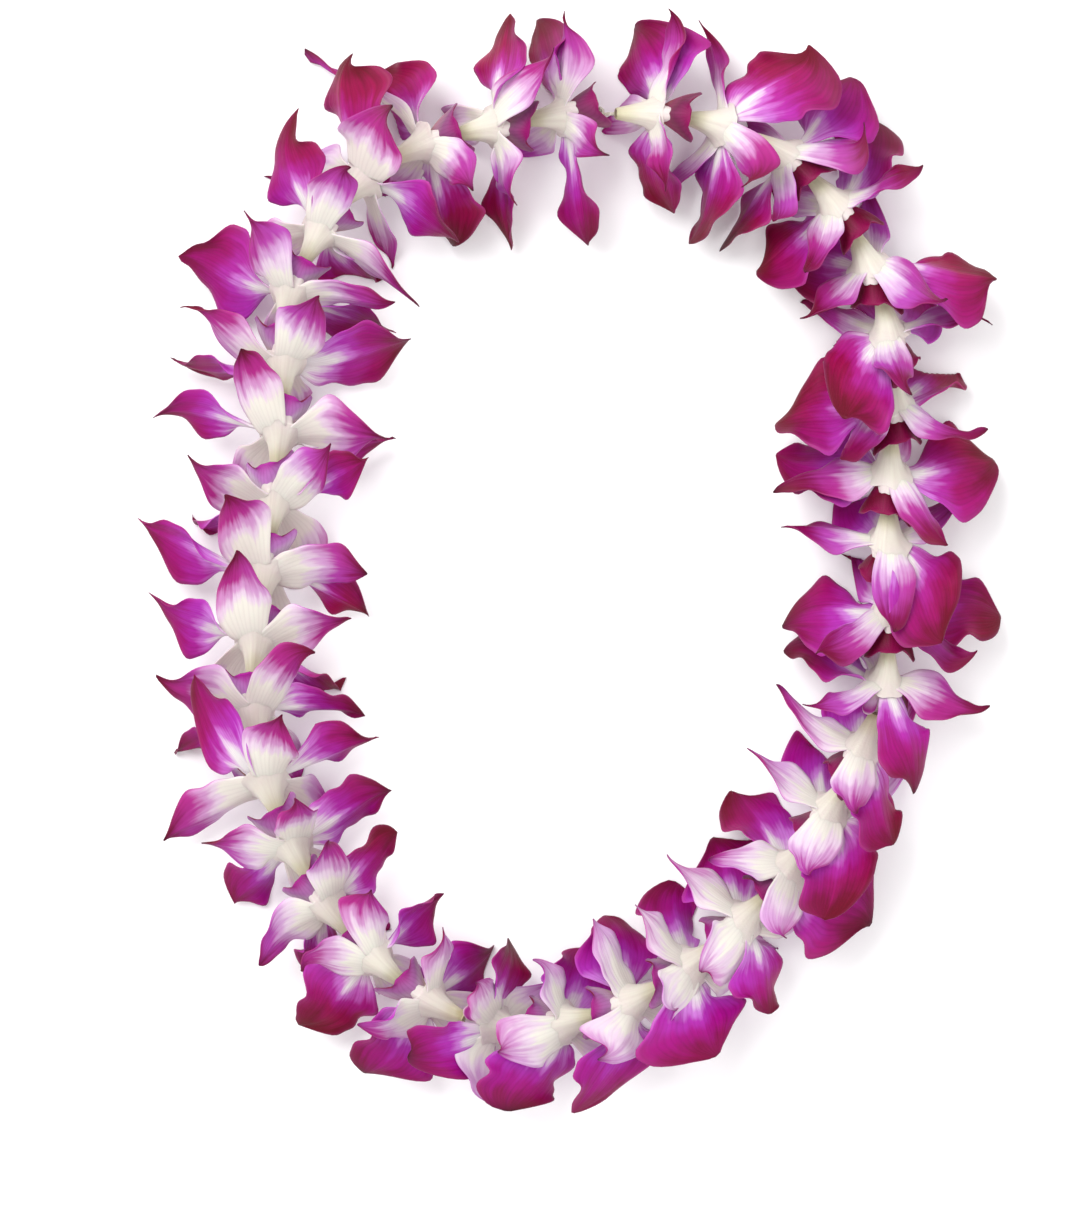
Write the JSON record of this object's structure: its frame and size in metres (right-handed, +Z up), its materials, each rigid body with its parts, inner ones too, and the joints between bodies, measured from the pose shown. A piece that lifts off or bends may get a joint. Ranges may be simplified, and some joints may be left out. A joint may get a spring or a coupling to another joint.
{
  "type": "orchid lei",
  "caption": "Lei of two-tone orchid blooms threaded through their bases on a cord, tied into a loop and laid out flat as an open oval.",
  "frame": {"origin": "bottom middle of the whole lei's box, on the surface that it lies on", "axes": "+Z up from the surface, +Y along the loop's length, every bloom opening clockwise as seen from above"},
  "size_m": [0.3126, 0.3964, 0.0508],
  "materials": {
    "orchid_bloom": "fresh petal, soft satin, white to lilac at the heart and magenta towards the tips",
    "cord": "matte cotton string"
  },
  "bodies": {
    "root": {"bloom_01": "orchid_bloom", "bloom_02": "orchid_bloom", "bloom_03": "orchid_bloom", "bloom_04": "orchid_bloom", "bloom_05": "orchid_bloom", "bloom_06": "orchid_bloom", "bloom_07": "orchid_bloom", "bloom_08": "orchid_bloom", "bloom_09": "orchid_bloom", "bloom_10": "orchid_bloom", "bloom_11": "orchid_bloom", "bloom_12": "orchid_bloom", "bloom_13": "orchid_bloom", "bloom_14": "orchid_bloom", "bloom_15": "orchid_bloom", "bloom_16": "orchid_bloom", "bloom_17": "orchid_bloom", "bloom_18": "orchid_bloom", "bloom_19": "orchid_bloom", "bloom_20": "orchid_bloom", "bloom_21": "orchid_bloom", "bloom_22": "orchid_bloom", "bloom_23": "orchid_bloom", "bloom_24": "orchid_bloom", "bloom_25": "orchid_bloom", "bloom_26": "orchid_bloom", "bloom_27": "orchid_bloom", "bloom_28": "orchid_bloom", "bloom_29": "orchid_bloom", "bloom_30": "orchid_bloom", "bloom_31": "orchid_bloom", "bloom_32": "orchid_bloom", "bloom_33": "orchid_bloom", "bloom_34": "orchid_bloom", "bloom_35": "orchid_bloom", "bloom_36": "orchid_bloom", "lei_string": "cord"}
  },
  "joints": []
}
